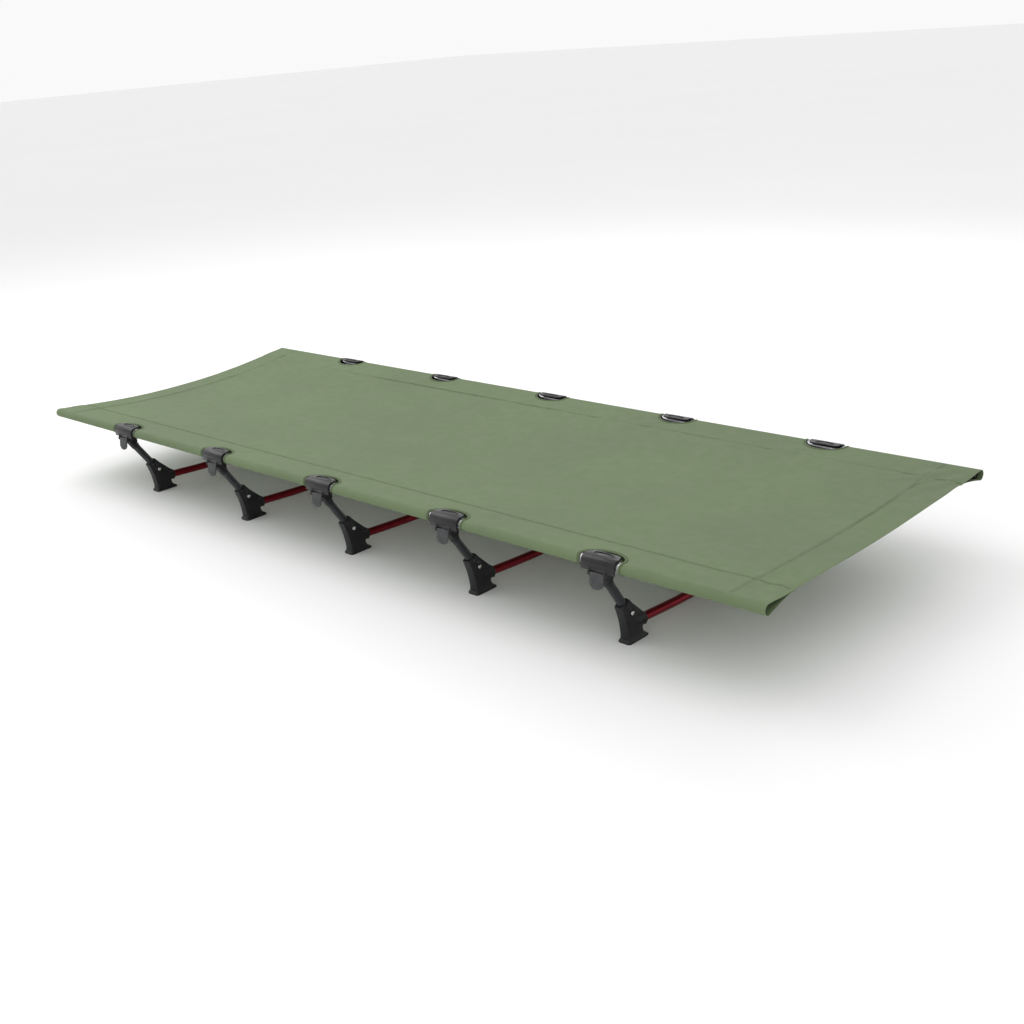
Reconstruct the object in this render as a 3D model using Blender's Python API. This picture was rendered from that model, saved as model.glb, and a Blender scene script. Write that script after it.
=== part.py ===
"""Folding camp cot: a fabric bed between two side rails, carried by low legs that clip under the rails.

Metres, +Z up. X runs along the bed, head end at -X. Y runs across it, near side at -Y.
The origin is on the floor under the middle of the bed. Pieces of a leg are modelled for the
near side, with y measured from the cot's middle, and turned half round Z for the far side.
"""

import math

import bmesh
import bpy
from mathutils import Matrix, Vector

# Overall sizes
BED_LENGTH = 1.90
RAIL_SPAN = 0.636
RAIL_HEIGHT = 0.150
LEG_COUNT = 5
LEG_PITCH = 0.330

# Tubes
RAIL_RADIUS = 0.008
RAIL_WALL = 0.0012
RAIL_INSET = 0.010
ARM_RADIUS = 0.0075
ARM_WALL = 0.0012
POLE_RADIUS = 0.0075
POLE_WALL = 0.0012
POLE_DIP = 0.008
POLE_STEPS = 8
TUBE_SIDES = 14
RIVET_SIDES = 10
PIN_SIDES = 10

# Clearances
SEAT_GAP = 0.0003
SIDE_GAP = 0.0005
RUNNING_GAP = 0.0003
SLOT_GAP = 0.0008

# Fabric
CLOTH = 0.0008
SLEEVE_SEAM = 0.065
BED_SAG = 0.014
CUTOUT_HALF_LENGTH = 0.039
CUTOUT_DEPTH = 0.028
CUTOUT_SIDES = 20

# Hub and foot
HUB_HALF_WIDTH = 0.009
SOCKET_WALL = 0.0028
SOCKET_DEPTH = 0.030
SOCKET_REACH = 0.0365
FOOT_LENGTH = 0.0505
FOOT_OUTBOARD = 0.0136
FOOT_HALF_WIDTH = 0.0125
FOOT_THICKNESS = 0.005
POLE_HEIGHT_AT_HUB = 0.0265
RIVET_RADIUS = 0.0022
RIVET_HEAD_RADIUS = 0.0036
RIVET_HEAD_HEIGHT = 0.0014

# Arm: it leans out from its rivet to the pin that the clip turns on
RIVET_INSET = 0.054
RIVET_HEIGHT = 0.050
ARM_BELOW_RIVET = 0.006
ARM_COLLAR = 0.022

# Rail clip, from the rail's axis
CLIP_LENGTH = 0.064
CLIP_WALL = 0.0034
CLIP_SKIRT = 0.010
PLATE_DEPTH = 0.019
PLATE_THICKNESS = 0.003
PLATE_SQUARENESS = 0.5
EAR_WIDTH = 0.0035
CLIP_PIN_OUT = 0.002
CLIP_PIN_DROP = 0.015
CLIP_PIN_RADIUS = 0.0025
EAR_RADIUS = 0.0048

# Saddle at the arm's top, between the clip's ears
SADDLE_HALF_WIDTH = 0.012
SADDLE_INNER = 0.0095
SADDLE_OUTER = 0.0076
SADDLE_TOP_DROP = 0.0055

# Lever
LEVER_HALF_WIDTH = 0.013
LEVER_LENGTH = 0.0225
LEVER_THICKNESS = 0.003
LEVER_FLARE = 0.004
LEVER_PIN_OUT = 0.0118
LEVER_PIN_DROP = 0.0145
LEVER_PIN_RADIUS = 0.0014
LEVER_BARREL_RADIUS = 0.0028
TONGUE_STEPS = 8

# Worked out from the sizes above; the near side is at negative y
RAIL_Y = -RAIL_SPAN / 2
CLIP_PIN = Vector((0, RAIL_Y - CLIP_PIN_OUT, RAIL_HEIGHT - CLIP_PIN_DROP))
LEVER_PIN = Vector((0, RAIL_Y - LEVER_PIN_OUT, RAIL_HEIGHT - LEVER_PIN_DROP))
RIVET = Vector((0, RAIL_Y + RIVET_INSET, RIVET_HEIGHT))
ARM_DIRECTION = (CLIP_PIN - RIVET).normalized()
EAR_INNER = LEVER_HALF_WIDTH + SIDE_GAP
HUB_INNER_Y = RIVET.y + SOCKET_REACH
POLE_LENGTH = -2 * HUB_INNER_Y + 2 * SOCKET_DEPTH


# Blender helpers

def clear_scene():
    for obj in list(bpy.data.objects):
        bpy.data.objects.remove(obj)


def new_collection(name):
    collection = bpy.data.collections.new(name)
    bpy.context.scene.collection.children.link(collection)
    return collection


def material(name, color, roughness, metallic):
    mat = bpy.data.materials.new(name)
    mat.use_nodes = True
    shader = mat.node_tree.nodes["Principled BSDF"]
    shader.inputs["Base Color"].default_value = (*color, 1)
    shader.inputs["Roughness"].default_value = roughness
    shader.inputs["Metallic"].default_value = metallic
    return mat


def linked(name, data):
    obj = bpy.data.objects.new(name, data)
    PARTS.objects.link(obj)
    return obj


def as_mesh(obj):
    """The object's evaluated mesh, with the object removed."""
    bpy.context.view_layer.update()
    graph = bpy.context.evaluated_depsgraph_get()
    mesh = bpy.data.meshes.new_from_object(obj.evaluated_get(graph))
    mesh.transform(obj.matrix_world)
    bpy.data.objects.remove(obj)
    shape = bmesh.new()
    shape.from_mesh(mesh)
    bmesh.ops.remove_doubles(shape, verts=shape.verts, dist=1e-6)
    shape.to_mesh(mesh)
    shape.free()
    return mesh


def outline(splines, half_width, centre_x=0.0):
    """A solid with this outline in the YZ plane; the outlines after the first are holes."""
    curve = bpy.data.curves.new("outline", "CURVE")
    curve.dimensions = "2D"
    curve.fill_mode = "BOTH"
    curve.extrude = half_width
    for points in splines:
        spline = curve.splines.new("POLY")
        spline.points.add(len(points) - 1)
        for point, (y, z) in zip(spline.points, points):
            point.co = (y, z, 0, 1)
        spline.use_cyclic_u = True
    obj = linked("outline", curve)
    # The curve's own X, Y and Z become world Y, Z and X.
    obj.matrix_world = Matrix(((0, 0, 1, centre_x), (1, 0, 0, 0), (0, 1, 0, 0), (0, 0, 0, 1)))
    return as_mesh(obj)


def rod(start, end, radius, sides=TUBE_SIDES, end_radius=None):
    """A round solid from start to end, or a cone where end_radius is given."""
    start, end = Vector(start), Vector(end)
    axis = end - start
    shape = bmesh.new()
    place = Matrix.Translation((start + end) / 2) @ axis.to_track_quat("Z", "Y").to_matrix().to_4x4()
    bmesh.ops.create_cone(
        shape, cap_ends=True, segments=sides, radius1=radius,
        radius2=radius if end_radius is None else end_radius, depth=axis.length, matrix=place,
    )
    mesh = bpy.data.meshes.new("rod")
    shape.to_mesh(mesh)
    shape.free()
    return mesh


def joined(first, others, operation):
    """first with each of the other meshes united with it or cut from it."""
    target = linked("target", first)
    tools = [linked("tool", mesh) for mesh in others]
    for tool in tools:
        modifier = target.modifiers.new(operation, "BOOLEAN")
        modifier.operation = operation
        modifier.object = tool
    mesh = as_mesh(target)
    for tool in tools:
        bpy.data.objects.remove(tool)
    return mesh


def piece(name, mesh, mat, origin=(0, 0, 0), leg_x=0.0, far=False):
    """An object of a mesh that is modelled at x 0, with its origin on the point given."""
    obj = bpy.data.objects.new(name, mesh)
    PARTS.objects.link(obj)
    if not mesh.materials:
        mesh.transform(Matrix.Translation(-Vector(origin)))
        mesh.materials.append(mat)
        mesh.shade_smooth()
        mesh.set_sharp_from_angle(angle=math.radians(35))
    y = -origin[1] if far else origin[1]
    obj.location = (leg_x, y, origin[2])
    obj.rotation_euler.z = math.pi if far else 0.0
    return obj


def arc(centre, radius, start, end, steps):
    """Points on an arc in the YZ plane; 0 degrees is outwards, away from the bed, and 90 is up."""
    points = []
    for i in range(steps + 1):
        angle = math.radians(start + (end - start) * i / steps)
        points.append((centre[0] - radius * math.cos(angle), centre[1] + radius * math.sin(angle)))
    return points


# Pieces

def rail_mesh():
    half = BED_LENGTH / 2 - RAIL_INSET
    tube = rod((-half, 0, 0), (half, 0, 0), RAIL_RADIUS)
    bore = rod((-half - 0.01, 0, 0), (half + 0.01, 0, 0), RAIL_RADIUS - RAIL_WALL)
    return joined(tube, [bore], "DIFFERENCE")


def bed_height(y):
    """The fabric's upper face: level with the rails' tops, and hanging between them."""
    share = y / (RAIL_SPAN / 2)
    return RAIL_HEIGHT + RAIL_RADIUS + SEAT_GAP + CLOTH - BED_SAG * (1 - share * share)


def fabric_mesh():
    """The bed's section, drawn out along X: a sleeve round each rail and one sheet between them."""
    inner = RAIL_RADIUS + SEAT_GAP
    seam = RAIL_SPAN / 2 - SLEEVE_SEAM
    rail = (RAIL_Y, RAIL_HEIGHT)
    tops = [RAIL_Y * (1 - i / 8) for i in range(1, 8)]

    def mirrored(points):
        return [(-y, z) for y, z in reversed(points)]

    half_upper = [(y, bed_height(y)) for y in tops]
    outer = arc(rail, inner + CLOTH, -90, 90, 8)
    under = [(-seam, bed_height(seam) - 2 * CLOTH)]
    sheet_under = [(y, bed_height(y) - CLOTH * 2) for y in tops if y > -seam + 0.01]
    near = list(reversed(sheet_under)) + under + outer + half_upper
    whole = near + [(0, bed_height(0))] + mirrored(near) + [(0, bed_height(0) - 2 * CLOTH)]
    pocket_tip = (-seam - 0.006, bed_height(seam + 0.006) - CLOTH)
    upper_inside = [(y, bed_height(y) - CLOTH) for y in tops if y < -seam - 0.010]
    pocket = arc(rail, inner, -90, 90, 8) + upper_inside + [pocket_tip]
    body = outline([whole, pocket, mirrored(pocket)], BED_LENGTH / 2)
    cutters = []
    for x in leg_places():
        for side in (-1, 1):
            shape = bmesh.new()
            place = (
                Matrix.Translation((x, side * RAIL_SPAN / 2, RAIL_HEIGHT))
                @ Matrix.Diagonal((CUTOUT_HALF_LENGTH, CUTOUT_DEPTH, 1, 1))
                @ Matrix.Rotation(math.pi / CUTOUT_SIDES, 4, "Z")
            )
            bmesh.ops.create_cone(
                shape, cap_ends=True, segments=CUTOUT_SIDES, radius1=1, radius2=1, depth=0.08,
                matrix=place,
            )
            mesh = bpy.data.meshes.new("cutout")
            shape.to_mesh(mesh)
            shape.free()
            cutters.append(mesh)
    return joined(body, cutters, "DIFFERENCE")


def leg_places():
    return [(i - (LEG_COUNT - 1) / 2) * LEG_PITCH for i in range(LEG_COUNT)]


def pole_height(y):
    """The cross pole's axis: bowed down between the hubs by the pull of the fabric."""
    share = y / HUB_INNER_Y
    return POLE_HEIGHT_AT_HUB - POLE_DIP * (1 - share * share)


def bowed_rod(radius, length):
    """A round solid along the cross pole's axis."""
    curve = bpy.data.curves.new("pole", "CURVE")
    curve.dimensions = "3D"
    curve.bevel_depth = radius
    curve.bevel_resolution = 2
    curve.use_fill_caps = True
    spline = curve.splines.new("POLY")
    spline.points.add(POLE_STEPS)
    for i, point in enumerate(spline.points):
        y = length * (i / POLE_STEPS - 0.5)
        point.co = (0, y, pole_height(y), 1)
    return as_mesh(linked("pole", curve))


def cross_pole_mesh():
    bore = bowed_rod(POLE_RADIUS - POLE_WALL, POLE_LENGTH + 0.02)
    return joined(bowed_rod(POLE_RADIUS, POLE_LENGTH), [bore], "DIFFERENCE")


def hub_outline():
    """The hub's side: an upper edge from the arm to the pole, and a waisted foot."""
    y, z = RIVET.y, RIVET.z
    foot_outer = y - FOOT_OUTBOARD
    foot_inner = foot_outer + FOOT_LENGTH
    return [
        (foot_outer + 0.005, 0.001), (foot_inner - 0.008, 0.001), (foot_inner - 0.0085, 0.008),
        (foot_inner - 0.0105, 0.015), (foot_inner - 0.0095, 0.021),
        (HUB_INNER_Y - 0.002, POLE_HEIGHT_AT_HUB - 0.009), (HUB_INNER_Y - 0.002, POLE_HEIGHT_AT_HUB + 0.009),
        (y + 0.022, z + 0.000), (y + 0.008, z + 0.011), (y - 0.005, z + 0.024),
        (y - 0.022, z + 0.017), (y - 0.015, z - 0.004), (y - 0.0115, z - 0.022),
        (y - 0.012, 0.012),
    ]


def hub_mesh():
    web = outline([hub_outline()], HUB_HALF_WIDTH)
    collar_radius = ARM_RADIUS + SOCKET_WALL
    collar_top = RIVET + ARM_DIRECTION * ARM_COLLAR
    collar = rod(RIVET - ARM_DIRECTION * 0.004, collar_top, collar_radius)
    pole_axis_in = Vector((0, HUB_INNER_Y - SOCKET_DEPTH + 0.004, POLE_HEIGHT_AT_HUB + 0.0005))
    pole_axis_out = Vector((0, HUB_INNER_Y, POLE_HEIGHT_AT_HUB))
    socket = rod(pole_axis_in, pole_axis_out, POLE_RADIUS + SOCKET_WALL)
    foot_outer = RIVET.y - FOOT_OUTBOARD
    foot = outline(
        [[(foot_outer, 0), (foot_outer + FOOT_LENGTH, 0),
          (foot_outer + FOOT_LENGTH, FOOT_THICKNESS * 0.5),
          (foot_outer + FOOT_LENGTH - 0.007, 0.0078),
          (foot_outer + 0.004, 0.0058), (foot_outer, FOOT_THICKNESS * 0.5)]],
        FOOT_HALF_WIDTH,
    )
    body = joined(web, [collar, socket, foot], "UNION")
    arm_bore = rod(
        RIVET - ARM_DIRECTION * (ARM_BELOW_RIVET + SEAT_GAP), collar_top + ARM_DIRECTION * 0.03,
        ARM_RADIUS + SEAT_GAP,
    )
    pole_slope = 2 * POLE_DIP / abs(HUB_INNER_Y)
    inner = HUB_INNER_Y - SOCKET_DEPTH - SEAT_GAP
    outer = HUB_INNER_Y + 0.02
    pole_bore = rod(
        (0, inner, POLE_HEIGHT_AT_HUB + pole_slope * SOCKET_DEPTH), (0, outer, POLE_HEIGHT_AT_HUB - pole_slope * 0.02),
        POLE_RADIUS + 2 * SEAT_GAP,
    )
    rivet_hole = rod(
        RIVET - Vector((0.03, 0, 0)), RIVET + Vector((0.03, 0, 0)), RIVET_RADIUS + SEAT_GAP, RIVET_SIDES
    )
    return joined(body, [arm_bore, pole_bore, rivet_hole], "DIFFERENCE")


def rivet_mesh():
    face = max(HUB_HALF_WIDTH, ARM_RADIUS + SOCKET_WALL) + SEAT_GAP
    shank = rod(RIVET - Vector((face, 0, 0)), RIVET + Vector((face, 0, 0)), RIVET_RADIUS, RIVET_SIDES)
    heads = []
    for side in (-1, 1):
        foot = RIVET + Vector((side * (face - 0.0001), 0, 0))
        top = foot + Vector((side * RIVET_HEAD_HEIGHT, 0, 0))
        heads.append(rod(foot, top, RIVET_HEAD_RADIUS, RIVET_SIDES, RIVET_HEAD_RADIUS * 0.6))
    return joined(shank, heads, "UNION")


def saddle_outline():
    """The block on the arm's top: it seats the rail, and its slot takes the clip's pin from above."""
    y, z = RAIL_Y, RAIL_HEIGHT
    return [
        (y + SADDLE_INNER, z - SADDLE_TOP_DROP), (y - SADDLE_OUTER, z - SADDLE_TOP_DROP),
        (y - SADDLE_OUTER, z - 0.0115), (y - 0.0062, z - 0.0135), (y - 0.0055, z - 0.022),
        (y + 0.002, z - 0.030), (y + 0.013, z - 0.024), (y + SADDLE_INNER + 0.002, z - 0.012),
    ]


def arm_mesh():
    low = RIVET - ARM_DIRECTION * ARM_BELOW_RIVET
    high = CLIP_PIN - ARM_DIRECTION * (CLIP_PIN_RADIUS + 0.004)
    tube = rod(low, high, ARM_RADIUS)
    bore = rod(low - ARM_DIRECTION * 0.01, high - ARM_DIRECTION * 0.012, ARM_RADIUS - ARM_WALL)
    tube = joined(tube, [bore], "DIFFERENCE")
    saddle = outline([saddle_outline()], SADDLE_HALF_WIDTH)
    whole = joined(tube, [saddle], "UNION")
    seat = rod(
        (-0.03, RAIL_Y, RAIL_HEIGHT), (0.03, RAIL_Y, RAIL_HEIGHT), RAIL_RADIUS + SEAT_GAP, TUBE_SIDES
    )
    half = CLIP_PIN_RADIUS + SLOT_GAP
    slot = outline(
        [[(CLIP_PIN.y - half, RAIL_HEIGHT), (CLIP_PIN.y + half, RAIL_HEIGHT)]
         + [(y, z) for y, z in arc((CLIP_PIN.y, CLIP_PIN.z), half, 180, 360, 6)]],
        0.03,
    )
    hole = rod(
        RIVET - Vector((0.03, 0, 0)), RIVET + Vector((0.03, 0, 0)), RIVET_RADIUS + SEAT_GAP, RIVET_SIDES
    )
    return joined(whole, [seat, slot, hole], "DIFFERENCE")


def clip_mesh():
    """A hook over the rail: a rounded shell, a plate inboard over the cut-out, and two ears."""
    inner = RAIL_RADIUS + SEAT_GAP
    outer = inner + CLIP_WALL
    rail = (RAIL_Y, RAIL_HEIGHT)
    skirt = RAIL_HEIGHT - CLIP_SKIRT
    shell = outline(
        [[(RAIL_Y + 0.004, RAIL_HEIGHT + outer)]
         + arc(rail, outer, 90, 0, 6)
         + [(RAIL_Y - outer, skirt), (RAIL_Y - inner - 0.0008, skirt)]
         + arc(rail, inner, 0, 90, 6)
         + [(RAIL_Y + 0.004, RAIL_HEIGHT + inner + 0.0002)]],
        CLIP_LENGTH / 2,
    )
    shape = bmesh.new()
    bmesh.ops.create_cone(
        shape, cap_ends=True, segments=20, radius1=1, radius2=1, depth=PLATE_THICKNESS
    )
    for vert in shape.verts:
        x, y = vert.co.x, max(vert.co.y, 0)
        vert.co.x = math.copysign(abs(x) ** PLATE_SQUARENESS, x) * CLIP_LENGTH * 0.47
        vert.co.y = RAIL_Y - 0.0005 + y ** PLATE_SQUARENESS * PLATE_DEPTH
        vert.co.z += RAIL_HEIGHT + inner + 0.0002 + PLATE_THICKNESS / 2
    bmesh.ops.remove_doubles(shape, verts=shape.verts, dist=1e-6)
    plate = bpy.data.meshes.new("plate")
    shape.to_mesh(plate)
    shape.free()
    ears = []
    for side in (-1, 1):
        pin, lever = CLIP_PIN, LEVER_PIN
        edge = (
            [(RAIL_Y - outer + 0.0003, skirt + 0.006), (RAIL_Y - inner - 0.0011, skirt + 0.006)]
            + [(RAIL_Y - inner - 0.0011, skirt + 0.0005)]
            + arc((pin.y, pin.z), EAR_RADIUS, 75, 270, 5)
            + arc((lever.y, lever.z), EAR_RADIUS * 0.75, 300, 360, 3)
        )
        ears.append(outline([list(reversed(edge))], EAR_WIDTH / 2, side * (EAR_INNER + EAR_WIDTH / 2)))
    reach = EAR_INNER + EAR_WIDTH / 2
    pins = [
        rod((-reach, p.y, p.z), (reach, p.y, p.z), radius, PIN_SIDES)
        for p, radius in ((CLIP_PIN, CLIP_PIN_RADIUS), (LEVER_PIN, LEVER_PIN_RADIUS))
    ]
    return joined(shell, [plate] + ears + pins, "UNION")


def lever_mesh():
    """A tongue that hangs from its barrel, with a round lower end."""
    pin = LEVER_PIN
    barrel = rod(
        (-LEVER_HALF_WIDTH, pin.y, pin.z), (LEVER_HALF_WIDTH, pin.y, pin.z), LEVER_BARREL_RADIUS, PIN_SIDES
    )
    curve = bpy.data.curves.new("tongue", "CURVE")
    curve.dimensions = "2D"
    curve.fill_mode = "BOTH"
    curve.extrude = LEVER_THICKNESS / 2
    points = [(-LEVER_HALF_WIDTH, 0), (LEVER_HALF_WIDTH, 0)]
    straight = LEVER_LENGTH - LEVER_HALF_WIDTH * 0.8
    for i in range(TONGUE_STEPS + 1):
        angle = -math.pi * i / TONGUE_STEPS
        points.append(
            (LEVER_HALF_WIDTH * math.cos(angle), -straight + LEVER_HALF_WIDTH * 0.8 * math.sin(angle))
        )
    spline = curve.splines.new("POLY")
    spline.points.add(len(points) - 1)
    for point, (x, drop) in zip(spline.points, points):
        point.co = (x, drop, 0, 1)
    spline.use_cyclic_u = True
    tongue = linked("tongue", curve)
    lean = math.atan2(LEVER_FLARE, LEVER_LENGTH)
    tongue.matrix_world = (
        Matrix.Translation((0, pin.y - LEVER_BARREL_RADIUS * 0.3, pin.z - 0.0005))
        @ Matrix.Rotation(math.pi / 2 - lean, 4, "X")
    )
    body = joined(barrel, [as_mesh(tongue)], "UNION")
    bore = rod(
        (-0.03, pin.y, pin.z), (0.03, pin.y, pin.z), LEVER_PIN_RADIUS + RUNNING_GAP, PIN_SIDES
    )
    return joined(body, [bore], "DIFFERENCE")


def build():
    green = material("green_fabric", (0.19, 0.24, 0.13), 0.85, 0.0)
    black_tube = material("black_aluminium", (0.03, 0.03, 0.035), 0.35, 0.8)
    red_tube = material("red_aluminium", (0.30, 0.01, 0.02), 0.35, 0.8)
    black_plastic = material("black_plastic", (0.015, 0.015, 0.017), 0.4, 0.0)
    grey_plastic = material("grey_plastic", (0.07, 0.07, 0.075), 0.6, 0.0)
    steel = material("steel", (0.7, 0.7, 0.7), 0.3, 1.0)

    piece("fabric", fabric_mesh(), green)
    rail = rail_mesh()
    rail_place = (0, RAIL_Y, RAIL_HEIGHT)
    for name, far in (("near_rail", False), ("far_rail", True)):
        obj = piece(name, rail, black_tube)
        obj.location = (0, -rail_place[1] if far else rail_place[1], rail_place[2])

    kinds = (
        ("hub", hub_mesh(), black_plastic, RIVET),
        ("arm", arm_mesh(), black_tube, RIVET),
        ("rivet", rivet_mesh(), steel, RIVET),
        ("clip", clip_mesh(), black_plastic, CLIP_PIN),
        ("lever", lever_mesh(), grey_plastic, LEVER_PIN),
    )
    pole = cross_pole_mesh()
    for number, x in enumerate(leg_places(), 1):
        piece(f"cross_pole_{number}", pole, red_tube, leg_x=x)
        for kind, mesh, mat, origin in kinds:
            for side, far in (("near", False), ("far", True)):
                piece(f"{side}_{kind}_{number}", mesh, mat, origin, x, far)


clear_scene()
PARTS = new_collection("folding_cot")
build()
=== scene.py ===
"""Folding camp cot, finished pieces: sewn bed, bound cut-outs, rails, clips, levers, arms, hubs,
poles and stage."""

import math

import bmesh
import bpy
from bpy.props import FloatProperty, FloatVectorProperty, IntProperty, PointerProperty
from mathutils import Matrix, Vector, noise


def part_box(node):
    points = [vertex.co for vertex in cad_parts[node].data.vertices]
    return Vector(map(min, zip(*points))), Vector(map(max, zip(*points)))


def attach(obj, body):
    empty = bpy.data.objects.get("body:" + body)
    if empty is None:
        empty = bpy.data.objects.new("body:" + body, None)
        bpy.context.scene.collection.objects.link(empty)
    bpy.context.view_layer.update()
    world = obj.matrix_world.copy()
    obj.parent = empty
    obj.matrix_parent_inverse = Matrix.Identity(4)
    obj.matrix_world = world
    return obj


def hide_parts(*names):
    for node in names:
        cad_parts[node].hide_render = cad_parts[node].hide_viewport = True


bl_info = {
    "name": "Folding camp cot",
    "version": (1, 0, 0),
    "blender": (4, 5, 0),
    "location": "3D View > Sidebar > Cot",
    "description": "Builds the finished pieces of a folding camp cot on its frame",
    "category": "Add Mesh",
}

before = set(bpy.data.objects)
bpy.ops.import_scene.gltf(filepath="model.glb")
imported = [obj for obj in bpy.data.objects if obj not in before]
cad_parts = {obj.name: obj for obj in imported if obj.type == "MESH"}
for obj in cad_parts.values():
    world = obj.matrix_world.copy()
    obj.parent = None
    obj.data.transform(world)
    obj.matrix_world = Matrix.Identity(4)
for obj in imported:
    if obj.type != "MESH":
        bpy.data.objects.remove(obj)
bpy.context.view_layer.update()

# Places read from the frame, in metres
LEG_COUNT = 5
SIDES = (("near", False), ("far", True))


def middle(node):
    low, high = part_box(node)
    return (Vector(low) + Vector(high)) / 2


RAIL_AXIS = middle("near_rail")
RAIL_Y, RAIL_Z = RAIL_AXIS.y, RAIL_AXIS.z
RAIL_HALF_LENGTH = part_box("near_rail")[1][0]
BED_HALF_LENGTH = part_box("fabric")[1][0]
LEG_X = [middle(f"cross_pole_{number}").x for number in range(1, LEG_COUNT + 1)]
RIVET = Vector((0, middle("near_rivet_3").y, middle("near_rivet_3").z))
LEVER_PIN = Vector((0, RAIL_Y - 0.0118, RAIL_Z - 0.0145))
CLIP_PIN = Vector((0, RAIL_Y - 0.002, RAIL_Z - 0.015))
ARM_DIRECTION = (CLIP_PIN - RIVET).normalized()
HUB_INNER_Y = RIVET.y + 0.0365
POLE_END_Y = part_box("cross_pole_3")[0][1]
POLE_HEIGHT_AT_HUB = 0.0265
POLE_DIP = 0.008
SOCKET_DEPTH = 0.030


def length(name, description, default):
    return FloatProperty(name=name, description=description, default=default, unit="LENGTH")


def tint(name, description, default):
    return FloatVectorProperty(name=name, description=description, default=default, subtype="COLOR", size=3)


class CotBedSizes(bpy.types.PropertyGroup):
    sag_head: length("Sag at the head", "How far the bed hangs below its rails at the head end", 0.022)
    sag_foot: length("Sag at the foot", "How far the bed hangs below its rails at the foot end", 0.013)
    cloth: length("Cloth", "Thickness of the coated cloth", 0.0008)
    sleeve: length("Sleeve depth", "From the rail's axis to the sleeve's seam", 0.065)
    hem: length("End hem", "From the bed's end to the hem's stitching", 0.065)
    cutout_half_length: length("Cut-out half length", "Half of a cut-out along the rail", 0.039)
    cutout_depth: length("Cut-out depth", "Depth of a cut-out from the rail's axis", 0.028)
    binding: length("Binding width", "Width of the tape round a cut-out", 0.0056)
    wrinkle: length("Wrinkle height", "Height of the small folds at the corners", 0.0016)
    ripple: length("Ripple height", "Height of the slow unevenness of the sheet", 0.0010)
    stitch_pitch: length("Stitch pitch", "From one stitch to the next", 0.0042)
    stitch_length: length("Stitch length", "Length of one stitch", 0.0030)
    thread: length("Thread radius", "Radius of the sewing thread", 0.00026)


class CotFrameSizes(bpy.types.PropertyGroup):
    rail_radius: length("Rail radius", "Outer radius of a side rail", 0.008)
    arm_radius: length("Arm radius", "Outer radius of an arm's tube", 0.0075)
    pole_radius: length("Pole radius", "Outer radius of a cross pole", 0.0075)
    socket_wall: length("Socket wall", "Wall of a hub's collar and socket", 0.0028)
    edge: length("Edge rounding", "Rounding of the moulded edges", 0.0006)
    tube_sides: IntProperty(name="Tube sides", description="Facets round a tube", default=40, min=12)


class CotFinishes(bpy.types.PropertyGroup):
    cloth_color: tint("Cloth", "Colour of the bed's cloth", (0.140, 0.190, 0.098))
    binding_color: tint("Binding", "Colour of the binding tape", (0.100, 0.136, 0.066))
    thread_color: tint("Thread", "Colour of the stitching", (0.105, 0.140, 0.072))
    moulding_color: tint("Mouldings", "Colour of the hubs, clips and saddles", (0.010, 0.010, 0.011))
    lever_color: tint("Levers", "Colour of the levers", (0.052, 0.053, 0.055))
    arm_color: tint("Arms", "Colour of the arms' anodising", (0.045, 0.046, 0.050))
    pole_color: tint("Poles", "Colour of the poles' anodising", (0.230, 0.010, 0.020))
    rail_color: tint("Rails", "Colour of the bare rail tube", (0.48, 0.48, 0.50))
    rivet_color: tint("Rivets", "Colour of the rivets", (0.72, 0.72, 0.72))
    floor_color: tint("Floor", "Colour of the floor", (0.90, 0.90, 0.90))


# Shader groups that several finishes share

def new_group(name, inputs, outputs):
    tree = bpy.data.node_groups.new(name, "ShaderNodeTree")
    for label, kind, value in inputs:
        socket = tree.interface.new_socket(name=label, in_out="INPUT", socket_type=kind)
        if value is not None:
            socket.default_value = value
    for label, kind in outputs:
        tree.interface.new_socket(name=label, in_out="OUTPUT", socket_type=kind)
    entry = tree.nodes.new("NodeGroupInput")
    leave = tree.nodes.new("NodeGroupOutput")
    return tree, entry, leave


def math_node(tree, operation, first, second=None, clamp=False):
    node = tree.nodes.new("ShaderNodeMath")
    node.operation = operation
    node.use_clamp = clamp
    for slot, value in enumerate((first, second)):
        if value is None:
            continue
        if isinstance(value, (int, float)):
            node.inputs[slot].default_value = value
        else:
            tree.links.new(value, node.inputs[slot])
    return node.outputs[0]


def noise_node(tree, vector, scale, detail=3.0, roughness=0.5):
    node = tree.nodes.new("ShaderNodeTexNoise")
    node.inputs["Detail"].default_value = detail
    node.inputs["Roughness"].default_value = roughness
    if isinstance(scale, (int, float)):
        node.inputs["Scale"].default_value = scale
    else:
        tree.links.new(scale, node.inputs["Scale"])
    tree.links.new(vector, node.inputs["Vector"])
    return node.outputs["Fac"]


def spread(tree, value, low, high, to_low=0.0, to_high=1.0):
    node = tree.nodes.new("ShaderNodeMapRange")
    for label, number in (("From Min", low), ("From Max", high), ("To Min", to_low), ("To Max", to_high)):
        node.inputs[label].default_value = number
    tree.links.new(value, node.inputs["Value"])
    return node.outputs["Result"]


def mix_colors(tree, fac, first, second, blend="MIX"):
    node = tree.nodes.new("ShaderNodeMix")
    node.data_type = "RGBA"
    node.blend_type = blend
    for socket, value in ((node.inputs[0], fac), (node.inputs[6], first), (node.inputs[7], second)):
        if isinstance(value, (int, float)):
            socket.default_value = value
        elif isinstance(value, tuple):
            socket.default_value = value
        else:
            tree.links.new(value, socket)
    return node.outputs[2]


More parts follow.
